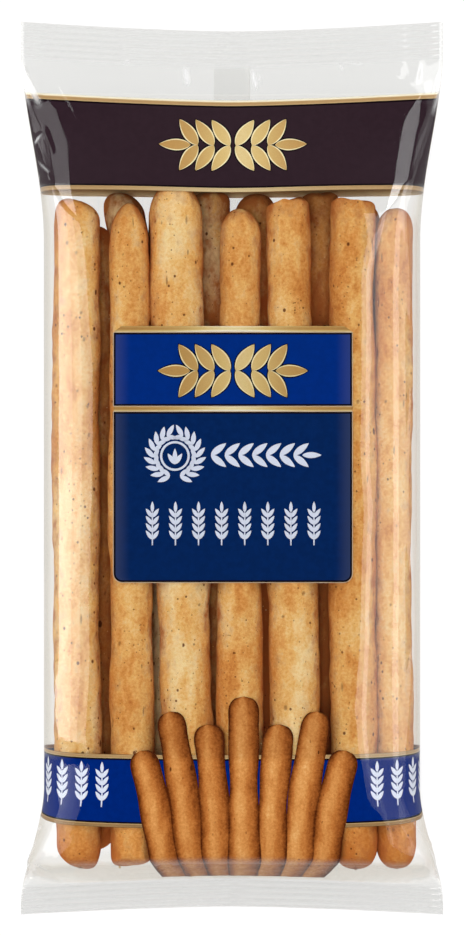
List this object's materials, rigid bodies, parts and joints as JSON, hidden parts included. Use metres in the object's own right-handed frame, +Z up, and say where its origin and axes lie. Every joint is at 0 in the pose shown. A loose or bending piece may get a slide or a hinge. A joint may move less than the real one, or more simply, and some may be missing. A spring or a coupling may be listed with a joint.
{
  "type": "bag of grissini breadsticks",
  "caption": "Sealed clear-film pillow bag of thick grissini breadsticks, lying on its back, with crimped end seals, a back fin, printed bands and a plain label panel.",
  "frame": {"origin": "centre of the underside that the bag rests on", "axes": "+Z up out of the shown front, +Y along the sticks to the top seal, +X to the right seen from above"},
  "size_m": [0.1466, 0.31, 0.0318],
  "materials": {
    "film_bag": "glossy clear film over toasted golden bread",
    "clear_film": "thin clear glossy film, crimped at its seals",
    "bread": "toasted golden crust with small pits and browned ends",
    "print_dark": "dark plum ink on film",
    "print_blue": "royal blue ink on film",
    "print_navy": "navy blue ink on film",
    "print_crust": "golden brown ink on film, shaded like toasted bread",
    "print_gold": "gold ink on film",
    "print_white": "white ink on film"
  },
  "bodies": {
    "root": {"bag": "film_bag"}
  },
  "joints": []
}
